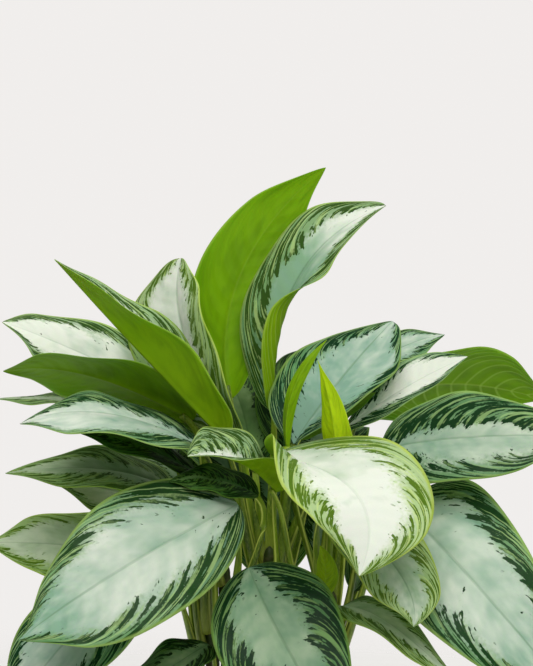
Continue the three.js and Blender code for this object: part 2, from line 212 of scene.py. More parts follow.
def pot_radius(height):
    """The outside of the wall below the collar."""
    return POT_FOOT_RADIUS + (POT_RADIUS - POT_COLLAR_STEP - POT_FOOT_RADIUS) * height / POT_HEIGHT


def turned(outline, steps):
    """An outline that starts and ends on the axis, turned a full circle round it."""
    bm = bmesh.new()
    corners = [bm.verts.new((radius, 0, height)) for radius, height in outline]
    edges = [bm.edges.new(pair) for pair in zip(corners, corners[1:])]
    bmesh.ops.spin(
        bm, geom=corners + edges, axis=(0, 0, 1), angle=math.tau, steps=steps, use_merge=True
    )
    bmesh.ops.remove_doubles(bm, verts=bm.verts, dist=1e-6)
    bmesh.ops.recalc_face_normals(bm, faces=bm.faces)
    return bm


def softened(bm, corners, width):
    """Rounds the rings of edges at the given corners of the outline."""
    rings = []
    for radius, height in corners:
        for edge in bm.edges:
            ends = [(v.co.xy.length, v.co.z) for v in edge.verts]
            if all(abs(r - radius) < 1e-5 and abs(z - height) < 1e-5 for r, z in ends):
                rings.append(edge)
    bmesh.ops.bevel(
        bm, geom=rings, offset=width, offset_type="OFFSET", affect="EDGES", segments=POT_EDGE_STEPS,
        profile=0.5, material=-1,
    )


def cut_out(piece, cutter):
    """Takes the cutter's shape out of a piece and removes the cutter."""
    tool = piece.modifiers.new("cut", "BOOLEAN")
    tool.object = cutter
    tool.solver = "EXACT"
    seen = piece.evaluated_get(bpy.context.evaluated_depsgraph_get())
    mesh = bpy.data.meshes.new_from_object(seen)
    piece.modifiers.clear()
    piece.data = mesh
    bpy.data.objects.remove(cutter)


def sum_of(operation, first, second=0.0, third=0.0, clamp=False):
    """The result of one sum."""
    terms = {0: first, 1: second, 2: third}
    made = shader_node(first.id_data, "Math", terms, operation=operation, use_clamp=clamp)
    return made.outputs["Value"]


def times(first, second, plus=0.0, clamp=False):
    """Two values multiplied, and a third added."""
    return sum_of("MULTIPLY_ADD", first, second, plus, clamp)


def noise_of(where, scale, detail, roughness=0.5):
    values = {"Vector": where, "Scale": scale, "Detail": detail, "Roughness": roughness}
    return shader_node(where.id_data, "TexNoise", values).outputs["Fac"]


def blend_of(share, first, second, way="MIX"):
    """The first colour, turned into the second by the share."""
    colours = {"Factor": share, 6: first, 7: second}
    made = shader_node(share.id_data, "Mix", colours, data_type="RGBA", blend_type=way)
    return made.outputs[2]


def dress(shader, colour, roughness, height, strength, distance):
    """A material's colour and roughness, and relief that is too fine for the mesh."""
    bumps = {"Height": height, "Strength": strength, "Distance": distance}
    relief = shader_node(shader.id_data, "Bump", bumps).outputs["Normal"]
    set_inputs(shader, {"Base Color": colour, "Roughness": roughness, "Normal": relief})


collar_foot = POT_HEIGHT - POT_COLLAR_HEIGHT
mouth = pot_radius(POT_HEIGHT) - POT_WALL
pot_outline = [
    (0, 0),
    (POT_FOOT_RADIUS, 0),
    (pot_radius(collar_foot), collar_foot),
    (pot_radius(collar_foot) + POT_COLLAR_STEP, collar_foot + POT_EDGE),
    (POT_RADIUS, POT_HEIGHT),
    (mouth, POT_HEIGHT),
    (pot_radius(POT_FLOOR) - POT_WALL, POT_FLOOR),
    (0, POT_FLOOR),
]
bm = turned(pot_outline, POT_SIDES)
softened(bm, [pot_outline[1], pot_outline[3], pot_outline[4], pot_outline[5]], POT_EDGE)

glaze, tree, shader = new_material("matte_glaze", Specular_IOR_Level=0.45)
place = place_in(tree)
cloud = noise_of(place, scale=14, detail=4)
cells = shader_node(tree, "TexVoronoi", {"Vector": place, "Scale": 420, "Randomness": 1})
patches = noise_of(place, scale=160, detail=1)
reach = step_of(patches, *SPECKS_FROM, 0, SPECK_SIZE, way="LINEAR")
speck = sum_of("LESS_THAN", cells.outputs["Distance"], reach)
colour = blend_of(speck, blend_of(cloud, GLAZE_SHADE, GLAZE_LIGHT), GLAZE_SPECK)
dullness = step_of(cloud, 0, 1, *GLAZE_ROUGHNESS, way="LINEAR")
ripple = noise_of(place, scale=55, detail=3, roughness=0.6)
dress(shader, colour, dullness, ripple, strength=0.12, distance=0.002)

pot = new_piece("stoneware_pot", bm, [glaze])
drills = bmesh.new()
for index in range(DRAIN_COUNT):
    angle = (index + 0.5) / DRAIN_COUNT * math.tau
    drill = bmesh.ops.create_cone(
        drills, cap_ends=True, segments=DRAIN_SIDES, radius1=DRAIN_RADIUS, radius2=DRAIN_RADIUS,
        depth=4 * POT_FLOOR,
    )
    spot = Vector((math.cos(angle), math.sin(angle), 0)) * DRAIN_CIRCLE
    bmesh.ops.translate(drills, verts=drill["verts"], vec=spot)
cut_out(pot, new_piece("drills", drills, []))
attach(pot, "root")
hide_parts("pot")

# ---- Soil ----
# Moist potting mix, filled to below the rim and a little higher in the middle, with bits of bark and
# white perlite lying in it.

SOIL_TOP = 0.180
SOIL_CROWN = 0.005
SOIL_GAP = 0.0003
SOIL_LUMPS = 0.0022
SOIL_LUMPS_PER_M = 75
SOIL_LUMP_SHAPE = (0.8, 2.1, 4)
SOIL_TONE = (0.35, 0.68)
SOIL_RINGS = 34
SOIL_SIDES = 120
# The loose bits: how many, the smallest and largest size, and the share of its size that a bit sinks.
CRUMBS = {"count": 1500, "low": 0.0018, "high": 0.0052, "sink": 0.25}
BARK_CHIPS = {"count": 170, "low": 0.004, "high": 0.010, "sink": 0.2}
PERLITE_BITS = {"count": 130, "low": 0.002, "high": 0.0048, "sink": 0.15}
BIT_STRETCH = (0.6, 1.1)
BIT_FLATNESS = 0.7
# Each matter's shade and light, how fine its grain is, and its roughness.
MATTERS = {
    "potting_mix": ((0.012, 0.008, 0.005, 1), (0.06, 0.038, 0.024, 1), 260, 0.95),
    "bark": ((0.045, 0.022, 0.012, 1), (0.15, 0.085, 0.048, 1), 300, 0.85),
    "perlite": ((0.55, 0.53, 0.48, 1), (0.8, 0.79, 0.75, 1), 500, 0.9),
}
soil_draw = random.Random(11)


def soil_radius(height):
    return pot_radius(height) - POT_WALL - SOIL_GAP


def soil_height(spot):
    """The top of the soil: a low crown with lumps, quiet at the pot's wall."""
    share = min(1, spot.length / soil_radius(SOIL_TOP))
    lumps = noise.fractal(Vector((spot.x, spot.y, 0)) * SOIL_LUMPS_PER_M, *SOIL_LUMP_SHAPE)
    return SOIL_TOP + SOIL_CROWN * (1 - share**2) + SOIL_LUMPS * lumps * (1 - share**12)


def scattered(shape, count, low, high, sink):
    """Small bits lying on the soil, each turned and sized at random."""
    bm = bmesh.new()
    for _ in range(count):
        bit = shape(bm)["verts"]
        size = soil_draw.uniform(low, high)
        angle = soil_draw.uniform(0, math.tau)
        reach = math.sqrt(soil_draw.random()) * (soil_radius(SOIL_TOP) - size)
        spot = Vector((math.cos(angle), math.sin(angle))) * reach
        flat = Vector([soil_draw.uniform(*BIT_STRETCH) for _ in range(3)]) * size
        flat.z *= BIT_FLATNESS
        turn = Vector([soil_draw.uniform(-1, 1) for _ in range(3)]).to_track_quat("Z", "Y")
        for vert in bit:
            vert.co = turn @ (vert.co * flat)
            vert.co += Vector((spot.x, spot.y, soil_height(spot) + size * (0.5 - sink)))
    return bm


def soil_matter(name, shade, light, fineness, roughness):
    """A dry or damp matter, with its colour breaking up from bit to bit."""
    material, tree, shader = new_material(name)
    grain = noise_of(place_in(tree), scale=fineness, detail=6, roughness=0.7)
    colour = blend_of(step_of(grain, *SOIL_TONE, way="LINEAR"), shade, light)
    dress(shader, colour, roughness, grain, strength=0.7, distance=0.0015)
    return material


soil_outline = [(0, POT_FLOOR + SOIL_GAP), (soil_radius(POT_FLOOR), POT_FLOOR + SOIL_GAP)]
for ring in range(SOIL_RINGS, -1, -1):
    soil_outline.append((soil_radius(SOIL_TOP) * ring / SOIL_RINGS, SOIL_TOP))
bm = turned(soil_outline, SOIL_SIDES)
for vert in bm.verts:
    if vert.co.z > SOIL_TOP - 1e-6:
        vert.co.z = soil_height(vert.co.xy)
mix, bark, perlite = (soil_matter(name, *matter) for name, matter in MATTERS.items())

crumb = lambda bm: bmesh.ops.create_icosphere(bm, subdivisions=1, radius=0.5)
chip = lambda bm: bmesh.ops.create_cube(bm, size=0.8)
soil_parts = {
    "soil_bed": (bm, mix),
    "soil_crumbs": (scattered(crumb, **CRUMBS), mix),
    "soil_bark": (scattered(chip, **BARK_CHIPS), bark),
    "soil_perlite": (scattered(crumb, **PERLITE_BITS), perlite),
}
for name, (mesh, matter) in soil_parts.items():
    part = new_piece(name, mesh, [matter], smooth=name != "soil_bark")
    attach(part, "root")
    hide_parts("soil")

# ---- Canes ----
# Short green canes, ringed by the scars of fallen leaves, corky and brown near the soil. Each stands
# in the soil and ends in the growing point that its leaves come from.

CANE_RADIUS = 0.008
CANE_TAPER = 0.18
CANE_DEPTH = 0.070
CANE_SIDES = 20
CANE_STEPS = 90
CANE_BEND = 0.6
CANE_TIP = 0.07
CANE_TIP_LEAST = 0.02
CANE_WAIST = 0.05
SCAR_STEP = 0.017
SCAR_WAVE = 0.25
SCAR_WIDTH = 0.10
SCAR_RISE = 0.07
SCAR_SHARE = 0.55
SCAR_BROWN = (0.23, 0.19, 0.105, 1)
CANE_DEEP = (0.02, 0.05, 0.006, 1)
CANE_GREEN = (0.085, 0.14, 0.022, 1)
CORK_SHADE = (0.085, 0.06, 0.032, 1)
CORK_LIGHT = (0.21, 0.165, 0.095, 1)
CORK_FADES = (0.3, 0.62, 1, 0.12)
CANE_ROUGHNESS = (0.42, 0.85)
CANES = {
    "front_left": {"foot": (-0.04, -0.04), "top": (-0.045, -0.046), "height": 0.322},
    "front_right": {"foot": (0.04, -0.04), "top": (0.044, -0.047), "height": 0.34},
    "left": {"foot": (-0.058, 0.006), "top": (-0.064, 0.006), "height": 0.338},
    "right": {"foot": (0.056, -0.004), "top": (0.06, -0.006), "height": 0.33},
    "centre": {"foot": (0, 0.004), "top": (-0.002, 0.008), "height": 0.372},
    "back_left": {"foot": (-0.044, 0.044), "top": (-0.05, 0.05), "height": 0.348},
    "back_right": {"foot": (0.044, 0.044), "top": (0.05, 0.05), "height": 0.352},
    "front": {"foot": (0, -0.062), "top": (0, -0.066), "height": 0.315},
    "back": {"foot": (0, 0.064), "top": (0, 0.068), "height": 0.34},
}


def bezier(points, share):
    """A point of the curve that its two ends and its pulls give, and the way it runs there."""
    row = list(points)
    while len(row) > 2:
        row = [a.lerp(b, share) for a, b in zip(row, row[1:])]
    return row[0].lerp(row[1], share), (row[1] - row[0]).normalized()


def square_to(way, axis):
    """The part of a direction that stands square to an axis."""
    return (way - axis * way.dot(axis)).normalized()


def cane_curve(cane):
    base = SOIL_TOP - CANE_DEPTH
    bend = base + CANE_BEND * (cane["height"] - base)
    return [
        Vector((*cane["foot"], base)),
        Vector((*cane["foot"], bend)),
        Vector((*cane["top"], cane["height"])),
    ]


def cane_radius(share):
    return CANE_RADIUS * (1 - CANE_TAPER * share)


def hump(value, middle, width):
    """One in the middle, and falling off on both sides."""
    return math.exp(-(((value - middle) / width) ** 2))


def rod_grid(bm, sides, steps, place):
    """A grid to be wrapped into a rod. Each point notes its share of the length and of the turn."""
    made = bmesh.ops.create_grid(bm, x_segments=sides, y_segments=steps, size=0.5)["verts"]
    for vert in made:
        vert[place] = (vert.co.y + 0.5, vert.co.x + 0.5, 0)
    return made


def closed_rod(bm, verts):
    """Joins the wrapped grid's seam and closes its two ends."""
    bmesh.ops.remove_doubles(bm, verts=verts, dist=1e-7)
    loose = [edge for edge in bm.edges if edge.is_boundary]
    bmesh.ops.holes_fill(bm, edges=loose, sides=0)


def cane_mesh(cane, seed):
    bm = bmesh.new()
    place = bm.verts.layers.float_vector.new("place")
    curve = cane_curve(cane)
    length = (curve[-1] - curve[0]).length
    verts = rod_grid(bm, CANE_SIDES, CANE_STEPS, place)
    for vert in verts:
        along, turn, _ = vert[place]
        spot, way = bezier(curve, along)
        front = square_to(Vector((0, -1, 0)), way)
        side = way.cross(front)
        scar = (along * length / SCAR_STEP + SCAR_WAVE * math.sin(math.tau * turn + seed)) % 1
        ring = hump(scar, 0.5, SCAR_WIDTH)
        growing = max(0, (along - 1 + CANE_TIP) / CANE_TIP)
        radius = cane_radius(along)
        radius *= 1 + SCAR_RISE * ring - CANE_WAIST * math.sin(math.pi * scar) ** 4
        radius *= math.sqrt(max(CANE_TIP_LEAST, 1 - growing**2))
        angle = math.tau * turn
        vert.co = spot + radius * (math.cos(angle) * side + math.sin(angle) * front)
        vert[place] = (along, ring, seed)
    closed_rod(bm, verts)
    bmesh.ops.recalc_face_normals(bm, faces=bm.faces)
    return bm


def noted_place(tree):
    """What a point of a rod or a blade notes of its place on it."""
    note = shader_node(tree, "Attribute", attribute_name="place")
    return shader_node(tree, "SeparateXYZ", {"Vector": note.outputs["Vector"]}).outputs


def drawn_out(tree, share):
    """Places for noise that is drawn out upwards."""
    made = shader_node(tree, "Mapping", {"Vector": place_in(tree), "Scale": (1, 1, share)})
    return made.outputs["Vector"]


cane_skin, tree, shader = new_material("cane_skin", Specular_IOR_Level=0.4)
where = noted_place(tree)
blotch = noise_of(drawn_out(tree, share=0.25), scale=150, detail=4)
age = step_of(where["X"], *CORK_FADES, way="LINEAR")
fresh = blend_of(blotch, CANE_DEEP, CANE_GREEN)
corky = blend_of(blotch, CORK_SHADE, CORK_LIGHT)
scarred = times(where["Y"], SCAR_SHARE)
colour = blend_of(scarred, blend_of(age, fresh, corky), SCAR_BROWN)
dullness = step_of(age, 0, 1, *CANE_ROUGHNESS, way="LINEAR")
dress(shader, colour, dullness, blotch, strength=0.35, distance=0.001)

for seed, (name, cane) in enumerate(CANES.items()):
    stem = new_piece(f"stem_{name}", cane_mesh(cane, seed), [cane_skin])
    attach(stem, "root")
    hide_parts(f"cane_{name}")

# ---- Leaves ----
# Each leaf grew as one piece: a stalk that sheathes its cane with two pale wings, and a broad blade
# with a sunk midrib and about a dozen side veins on each half. Three points give each midrib.

MM = 0.001
BLADE_THICKNESS = 0.0007
BLADE_EDGE_THINS = 0.6
BLADE_COLUMNS = 30
BLADE_COLUMNS_CLOSE = 1.35
BLADE_ROWS = 84
BLADE_ROWS_CLOSE = 0.11
BLADE_BASE_HALF = 0.004
BLADE_TIP_HALF = 0.0003
BLADE_POINT = 0.35
BLADE_POINT_FROM = 0.75
BLADE_WAVE_HEIGHT = 0.003
BLADE_WAVE_TURNS = 2.2
BLADE_WAVE_FULL = 0.030
BLADE_FULL_HALF = 0.040
FOLD_AT_BASE = 1.6
FOLD_AT_TIP = 0.5
FOLD_LIMIT = 60
MARGIN_DROOP = 18
CURL_FADE = 0.3
VEIN_COUNT = 13
VEIN_DEPTH = 0.0003
VEIN_SLANT = 0.10
VEIN_TURN = 0.30
VEIN_FROM = (0.02, 0.25)
RIB_HALF = 0.0024
RIB_SLIMS = 0.35
RIB_FADES = 0.15
RIB_GROOVE = 0.0008
RIB_RIDGE = 0.00128
STALK_SIDES = 22
STALK_STEPS = 40
STALK_FOOT = (0.0055, 0.0032)
STALK_NECK = (0.0036, 0.0025)
STALK_SHEATH = 2 / 3
STALK_UNDER_BLADE = 0.05
STALK_LEAN = 0.18
STALK_REACH = 0.6
STALK_LIFT = 0.42
STALK_ARRIVE = 0.25
STALK_GAP = 0.0003
STALK_HALVINGS = 20
STALK_CHANNEL = 0.60
STALK_CHANNEL_DEPTH = (0.45, 0.95)
STALK_WING = (0.95, 0.24)
STALK_WING_HEIGHT = (0.0004, 0.003)
STALK_WING_SPREAD = 0.35
STALK_EDGE = (1.35, 0.35)
STALK_CLASPS = (0.05, 0.55)
SILVER_FROM = -0.05
SILVER_OPENS = (0.5, 0.34)
TIP_SHADE_FROM = (0.5, 0.9)

# One half of a blade, seen from its base looking to its tip: its share of half the leaf's width, how
# slim its outline is at the base and at the tip, degrees that it is folded more than the leaf, degrees
# that its margin turns up near the base, and the share of the length by which it has straightened.
EVEN_HALF = {"wide": 1, "base": 0.55, "tip": 0.78, "lift": 0, "curl": 0, "until": 1}

# Points, widths and heights are in millimetres here, and folds in degrees. A look says what share of
# the half width is silver, how blue that is (on an underside, how clear the veins are), how yellow
# the green is, and how much painted shade darkens the leaf. A leaf may also say: the share of silver
# of one half, how much of it the base has and where it is full, how much painted shade makes the tip
# bluer and darker (below none it paints the tip lighter), and the veins' own depth.
LEAVES = {
    "front_left": {
        "cane": "front_left", "from": 250, "width": 134, "fold": 10,
        "base": (-33, -73, 430), "middle": (-145, -150, 380), "tip": (-230, -185, 326),
        "face": (-0.15, -0.95, 0.45), "right": {"tip": 1.15}, "look": (0.66, 0.45, 0.3, 0),
        "tip_painted_shade": 0.9, "vein_depth": 0.0012,
    },
    "front_white": {
        "cane": "front", "from": 295, "width": 148, "fold": 8,
        "base": (2, -57, 474), "middle": (77, -175, 457), "tip": (77, -225, 394),
        "face": (0.1, -0.7, 0.7), "right": {"lift": 20, "curl": 60, "until": 0.45},
        "look": (0.6, 0, 0.82, 0), "vein_depth": 0.00002,
    },
    "centre_funnel": {
        "cane": "front_right", "from": 298, "width": 84, "fold": 38,
        "base": (4, -75, 442), "middle": (-32, -100, 476), "tip": (-79, -120, 484),
        "face": (0, -0.3, 0.95), "left": {"base": 0.4, "tip": 1.1},
        "right": {"base": 1, "tip": 0.6}, "look": (0.14, 0.2, 0.5, 0),
    },
    "front_low": {
        "cane": "front", "from": 230, "width": 122, "fold": 10,
        "base": (-22, -88, 371), "middle": (11, -155, 316), "tip": (66, -200, 233),
        "face": (-0.05, -0.9, 0.45), "right": {"base": 0.65}, "look": (0.6, 0.65, 0.15, 0.5),
        # Less silver on its left half darkens that half: partly painted shade.
        "tip_painted_shade": 0.6, "silver_left": 0.45,
    },
    "front_right_small": {
        "cane": "front_right", "from": 265, "width": 78, "fold": 12,
        "base": (50, -85, 438), "middle": (116, -142, 382), "tip": (130, -170, 334),
        "face": (0.1, -0.7, 0.7), "look": (0.52, 0.75, 0.8, 0.05),
    },
    "right_low_narrow": {
        "cane": "front_right", "from": 222, "width": 56, "fold": 14,
        "base": (62, -56, 320), "middle": (104, -100, 325), "tip": (178, -140, 268),
        "face": (0.2, -0.3, 0.9), "right": {"wide": 1.25}, "look": (0.42, 0.4, 0.75, 0.3),
    },
    "right_large": {
        "cane": "right", "from": 250, "width": 144, "fold": 8,
        "base": (125, -40, 424), "middle": (190, -115, 365), "tip": (285, -150, 256),
        "face": (0.1, -0.95, 0.4), "left": {"base": 0.3}, "right": {"wide": 0.94},
        "look": (0.68, 0.55, 0.25, 0), "tip_painted_shade": 0.5, "vein_depth": 0.0009, "silver_left": 0.66,
    },
    "right_upper": {
        "cane": "right", "from": 285, "width": 108, "fold": 10,
        "base": (108, -10, 473), "middle": (186, -65, 494), "tip": (300, -105, 501),
        "face": (0, -0.75, 0.65), "look": (0.62, 0.6, 0.2, 0.2),
        "silver_left": 0.25, "opening": (0.2, 0.5),
    },
    "right_green": {
        "cane": "right", "from": 300, "width": 112, "fold": 6,
        "base": (96, 74, 507), "middle": (186, 130, 524), "tip": (298, 160, 503),
        "face": (0, 0.76, 0.65), "right": {"wide": 1.12, "base": 0.7, "tip": 0.6},
        "look": (0.6, 1, 0.35, 0),
    },
    "silver_blue": {
        "cane": "centre", "from": 330, "width": 120, "fold": 8,
        "base": (22, -25, 482), "middle": (68, 10, 540), "tip": (125, 60, 597),
        "face": (-0.2, -0.8, 0.5), "right": {"wide": 0.66, "base": 1, "tip": 0.4},
        "look": (0.78, 0.95, 0.1, 0.05), "silver_left": 0.58, "opening": (0.3, 0.45),
    },
    "right_teal": {
        "cane": "back_right", "from": 338, "width": 66, "fold": 10,
        "base": (72, 71, 520), "middle": (127, 125, 557), "tip": (188, 150, 575),
        "face": (0, -0.5, 0.85), "look": (0.55, 0.8, 0.1, 0.1),
    },
    "right_pale": {
        "cane": "centre", "from": 345, "width": 64, "fold": 12,
        "base": (71, 31, 487), "middle": (137, 46, 529), "tip": (203, 60, 560),
        "face": (0.1, -0.6, 0.8), "left": {"base": 1.3}, "right": {"wide": 0.6},
        "look": (0.72, 0.1, 0.2, 0), "opening": (0.35, 0.7),
    },
    "young_bright": {
        "cane": "front_right", "from": 333, "width": 36, "fold": 28,
        "base": (62, -44, 455), "middle": (60, -53, 508), "tip": (45, -45, 567),
        "face": (0.35, 0.9, 0.1), "left": {"base": 0.35, "tip": 1}, "right": {"base": 0.35, "tip": 1.1},
        "look": (0.6, 0.1, 1, 0),
    },
    "young_spear": {
        "cane": "centre", "from": 315, "width": 16, "fold": 40,
        "base": (16, -45, 477), "middle": (20, -55, 536), "tip": (54, -42, 587),
        "face": (0.3, 0.9, 0.1), "look": (0.6, 0.1, 0.45, 0.05),
    },
    "top_green": {
        "cane": "centre", "from": 350, "width": 92, "fold": 8,
        "base": (-43, 60, 516), "middle": (-32, 80, 644), "tip": (56, 70, 755),
        "face": (0.3, 0.85, 0.2), "look": (0.6, 0.05, 0.35, 0),
    },
    "top_striped": {
        "cane": "centre", "from": 360, "width": 98, "fold": 28,
        "base": (1, 38, 507), "middle": (26, 38, 641), "tip": (117, 50, 716),
        "face": (-0.8, -0.6, 0.2), "left": {"base": 0.55, "tip": 0.5},
        "right": {"wide": 0.86, "base": 0.42, "tip": 0.95, "lift": -20, "curl": 110, "until": 0.64},
        "look": (0.6, 1.15, 0.5, 0), "tip_painted_shade": -0.9, "silver_left": 0.42,
    },
    "upper_left": {
        "cane": "centre", "from": 340, "width": 100, "fold": 20,
        "base": (-34, -5, 483), "middle": (-86, 0, 583), "tip": (-91, 20, 664),
        "face": (-0.7, -0.7, 0.1), "left": {"wide": 1.35, "tip": 0.45},
        "right": {"wide": 0.9, "base": 0.35, "tip": 0.5}, "look": (0.62, 0.3, 0.8, 0),
        "silver_right": 0.42,
    },
    "upper_left_green": {
        "cane": "centre", "from": 322, "width": 96, "fold": 50,
        "base": (-46, -42, 488), "middle": (-126, -75, 578), "tip": (-205, -95, 668),
        "face": (0.5, 0.1, 0.85), "left": {"wide": 0.95}, "right": {"wide": 1.15, "lift": 10},
        "look": (0.6, 0, 0.52, 0),
    },
    "left_top": {
        "cane": "back_left", "from": 290, "width": 96, "fold": 10,
        "base": (-88, 32, 515), "middle": (-198, 48, 566), "tip": (-272, 20, 599),
        "face": (0, -0.6, 0.8), "look": (0.68, 0.15, 0.45, 0),
    },
    "left_green": {
        "cane": "back_left", "from": 324, "width": 110, "fold": 6,
        "base": (-79, -6, 503), "middle": (-178, -42, 552), "tip": (-260, -60, 558),
        "face": (-0.1, 0.45, 0.85), "look": (0.6, 0.1, 0.25, 0),
    },
    "left_thin": {
        "cane": "back_left", "from": 334, "width": 75, "fold": 10,
        "base": (-125, 60, 488), "middle": (-205, 60, 512), "tip": (-285, 50, 517),
        "face": (0, -0.05, 1), "look": (0.3, 0.4, 0.6, 0.5),
    },
    "left_silver": {
        "cane": "front_left", "from": 290, "width": 88, "fold": 8,
        "base": (-60, -36, 475), "middle": (-152, -110, 523), "tip": (-234, -135, 517),
        "face": (0, -0.42, 0.87), "right": {"tip": 1.05}, "look": (0.66, 0.55, 0.2, 0),
        "silver_left": 0.9, "silver_right": 0.42, "opening": (0.3, 0.7),
    },
    "left_shaded": {
        "cane": "left", "from": 285, "width": 60, "fold": 10,
        "base": (-70, -25, 450), "middle": (-147, -60, 494), "tip": (-212, -85, 512),
        "face": (0, -0.4, 0.9), "look": (0.22, 0.9, 0.3, 0.8),
    },
    "left_mid": {
        "cane": "left", "from": 262, "width": 82, "fold": 10,
        "base": (-90, -8, 426), "middle": (-159, -45, 459), "tip": (-259, -60, 458),
        "face": (0, -0.4, 0.9), "look": (0.38, 0.45, 0.7, 0.55),
    },
    "left_pale": {
        "cane": "left", "from": 268, "width": 95, "fold": 10,
        "base": (-79, 31, 398), "middle": (-142, 11, 424), "tip": (-222, -10, 443),
        "face": (0, -0.5, 0.85), "look": (0.64, 0.3, 0.65, 0.05),
    },
    "left_olive": {
        "cane": "left", "from": 235, "width": 98, "fold": 8,
        "base": (-90, 10, 356), "middle": (-197, -10, 376), "tip": (-283, -20, 381),
        "face": (0, -0.6, 0.8), "look": (0.62, 0.3, 0.9, 0.45),
    },
    "left_low": {
        "cane": "left", "from": 225, "width": 100, "fold": 10,
        "base": (-110, -50, 370), "middle": (-195, -105, 305), "tip": (-247, -130, 234),
        "face": (-0.2, -0.8, 0.5), "look": (0.62, 0.7, 0.1, 0),
    },
    "left_low_small": {
        "cane": "front_left", "from": 210, "width": 66, "fold": 12,
        "base": (-62, -52, 286), "middle": (-99, -80, 270), "tip": (-159, -115, 232),
        "face": (-0.2, -0.4, 0.9), "look": (0.45, 0.5, 0.2, 0.7),
    },
    "inner_shaded": {
        "cane": "front_left", "from": 306, "width": 44, "fold": 10,
        "base": (-13, -70, 438), "middle": (-55, -76, 455), "tip": (-99, -84, 454),
        "face": (0, -0.5, 0.85), "look": (0.12, 0.8, 0.35, 0.9),
    },
    "young_low": {
        "cane": "front_right", "from": 243, "width": 26, "fold": 35,
        "base": (38, -98, 338), "middle": (51, -100, 365), "tip": (46, -98, 395),
        "face": (0.3, 0.9, 0.1), "look": (0.6, 0.6, 0.7, 0.2),
    },
    "middle_green": {
        "cane": "right", "from": 318, "width": 42, "fold": 10,
        "base": (25, 3, 485), "middle": (64, 14, 507), "tip": (106, 26, 527),
        "face": (-0.1, 0.75, 0.65), "look": (0.6, 0.3, 0.1, 0.8),
    },
}

# Leaves of the far side stand in tiers, spread evenly round the back. Bearings run from +X towards +Y,
# in degrees, and each point of a midrib has its reach from the plant's middle and its height. The
# first three numbers of a look are drawn between the pairs here. The fourth is the tier's painted
# shade, which darkens its leaves where they stand in shade behind the others.
BACK_LOOKS = ((0.36, 0.56), (0.4, 0.8), (0.2, 0.6))
BACK_FACE = (0.4, 0.9)
BACK_TIERS = {
    "back_low": {
        "count": 5, "bearings": (34, 146), "from": 232, "width": 104, "fold": 10,
        "stagger": -16, "base": (105, 330), "middle": (165, 395), "tip": (240, 385), "painted_shade": 0.4,
    },
    "back_middle": {
        "count": 5, "bearings": (46, 134), "from": 276, "width": 100, "fold": 10,
        "stagger": -12, "base": (105, 405), "middle": (160, 455), "tip": (235, 450), "painted_shade": 0.6,
    },
    "back_high": {
        "count": 2, "bearings": (77, 105), "from": 308, "width": 84, "fold": 10,
        "stagger": 12, "base": (62, 452), "middle": (128, 515), "tip": (215, 545), "painted_shade": 0.9,
    },
}


def nearest_cane(spot):
    reach = lambda name: (Vector(CANES[name]["foot"]) - Vector(spot[:2]) * MM).length
    return min(CANES, key=reach)


def leaves_of(tier_name, tier):
    """The named leaves of one tier, every other one a little higher."""
    draw = random.Random(tier_name)
    for index in range(tier["count"]):
        low, high = tier["bearings"]
        bearing = math.radians(low + (high - low) * index / (tier["count"] - 1))
        lift = tier["stagger"] * (1 if index % 2 == 0 else -1)
        east, north = math.cos(bearing), math.sin(bearing)
        points = {
            point: (tier[point][0] * east, tier[point][0] * north, tier[point][1] + lift)
            for point in ("base", "middle", "tip")
        }
        look = [draw.uniform(*between) for between in BACK_LOOKS]
        yield f"{tier_name}_{index + 1}", {
            "cane": nearest_cane(points["base"]), "from": tier["from"] + lift,
            "width": tier["width"], "fold": tier["fold"], **points,
            "face": (BACK_FACE[0] * east, BACK_FACE[0] * north, BACK_FACE[1]),
            "look": (*look, tier["painted_shade"]),
        }


def mixed(a, b, share):
    return a + (b - a) * share


def smooth_step(value, low, high):
    share = min(1, max(0, (value - low) / (high - low)))
    return share * share * (3 - 2 * share)


def midrib_of(leaf):
    """The curve through a leaf's three points."""
    base, middle, tip = (Vector(leaf[point]) * MM for point in ("base", "middle", "tip"))
    return [base, 2 * middle - 0.5 * base - 0.5 * tip, tip]


def half_width(leaf, shape, along):
    """Broad near the base and drawn out to the tip."""
    base, tip = shape["base"], shape["tip"]
    raw = lambda share: share**base * (1 - share) ** tip
    widest = raw(base / (base + tip))
    drawn = 1 - BLADE_POINT * smooth_step(along, BLADE_POINT_FROM, 1)
    least = mixed(BLADE_BASE_HALF, BLADE_TIP_HALF, along)
    return max(least, leaf["width"] * MM / 2 * shape["wide"] * raw(along) / widest * drawn)


def vein_share(along, across):
    """Runs from base to tip along the midrib, and is even along each side vein: they leave the midrib
    at a slant and turn towards the tip, until they run beside the margin."""
    reach = abs(across)
    return along - VEIN_SLANT * reach - VEIN_TURN * reach**4


